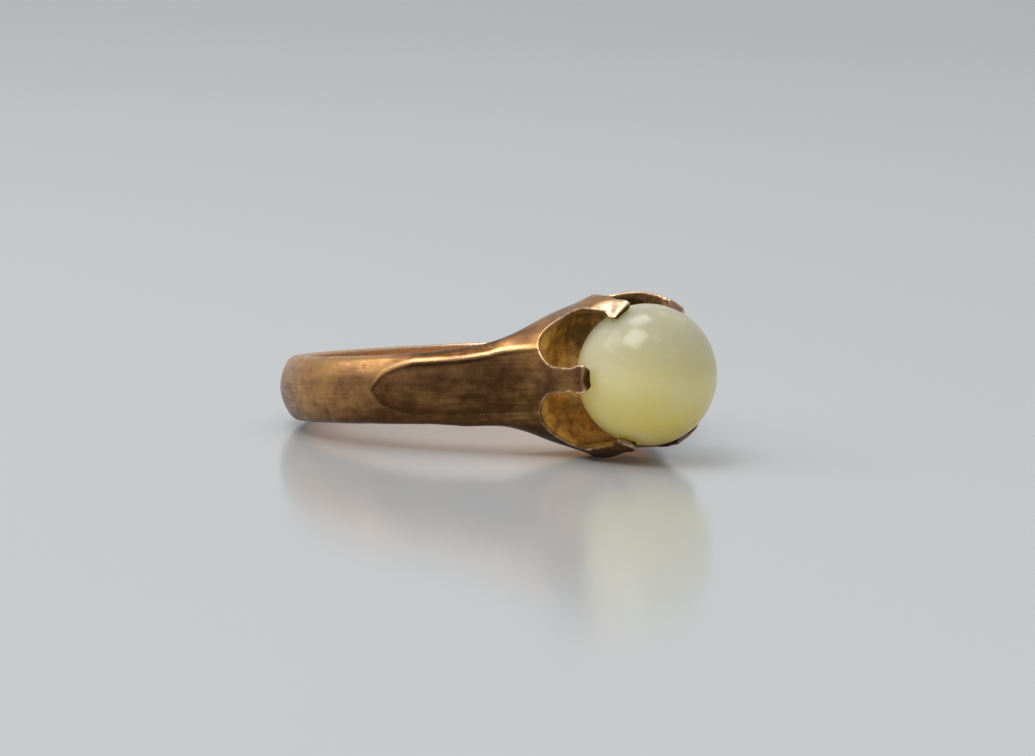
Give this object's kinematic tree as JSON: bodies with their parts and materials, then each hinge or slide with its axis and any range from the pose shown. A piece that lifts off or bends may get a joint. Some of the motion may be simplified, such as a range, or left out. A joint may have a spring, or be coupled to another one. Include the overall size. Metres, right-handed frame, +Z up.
{
  "type": "cabochon ring",
  "caption": "Finger ring: a cast gold band whose shoulders flow into a clawed cup that holds a pale yellow-green ball stone.",
  "frame": {"origin": "middle of the ring's bounding box, on the surface that it lies on", "axes": "+X from the back of the band towards the stone; +Z up from the surface; the finger hole's axis leans about 5.7 degrees from +Z away from the stone"},
  "size_m": [0.0272, 0.02, 0.008],
  "materials": {
    "gold": "worn rose-brown gold with a dull patina",
    "jade": "polished, cloudy and translucent"
  },
  "bodies": {
    "root": {"ring_mount": "gold", "cabochon_stone": "jade"}
  },
  "joints": []
}
